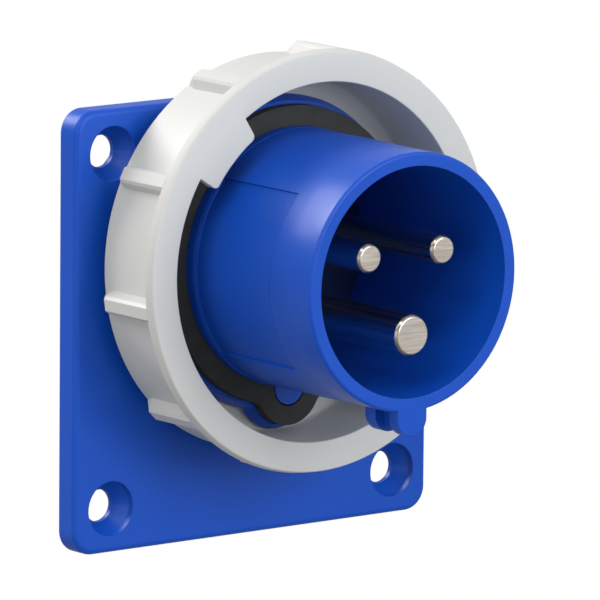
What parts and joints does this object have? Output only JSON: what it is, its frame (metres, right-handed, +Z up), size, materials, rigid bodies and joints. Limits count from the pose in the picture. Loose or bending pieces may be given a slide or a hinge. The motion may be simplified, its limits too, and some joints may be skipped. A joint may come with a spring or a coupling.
{
  "type": "cee panel inlet",
  "caption": "Panel-mounted power inlet with round pins in a keyed tubular shroud, a square flange and a bayonet locking ring.",
  "frame": {"origin": "centre of the four flange holes on the flange's back face", "axes": "-Y out of the panel along the contacts, +Z up, key of the shroud at the bottom"},
  "size_m": [0.075, 0.0672, 0.0846],
  "materials": {
    "blue_housing": "satin moulded",
    "blue_shroud": "satin moulded",
    "blue_cap": "satin moulded",
    "white_ring": "satin moulded",
    "black_rubber": "matt",
    "navy_insulator": "moulded",
    "dark_insulator": "moulded",
    "nickel_contacts": "nickel plated, turned end faces",
    "zinc_screws": "zinc plated"
  },
  "bodies": {
    "inlet": {"flange_housing": "blue_housing", "panel_gasket": "black_rubber", "shroud": "blue_shroud", "collar_cap": "blue_cap", "front_gasket": "black_rubber", "shroud_seal": "black_rubber", "rear_lock_ring": "dark_insulator", "contact_carrier": "navy_insulator", "terminal_block": "dark_insulator", "entry_plate": "dark_insulator", "block_screws": "zinc_screws", "earth_pin": "nickel_contacts", "earth_clamp_plate": "zinc_screws", "earth_terminal_screw": "zinc_screws", "line_pin": "nickel_contacts", "line_clamp_plate": "zinc_screws", "line_terminal_screw": "zinc_screws", "neutral_pin": "nickel_contacts", "neutral_clamp_plate": "zinc_screws", "neutral_terminal_screw": "zinc_screws"},
    "ring": {"locking_ring": "white_ring"}
  },
  "joints": [
    {"name": "ring_turn", "type": "hinge", "parent": "inlet", "child": "ring", "pos_m": [0, -0.015, 0.01135], "axis": [0, -1, 0], "range_deg": [-30, 0]}
  ]
}
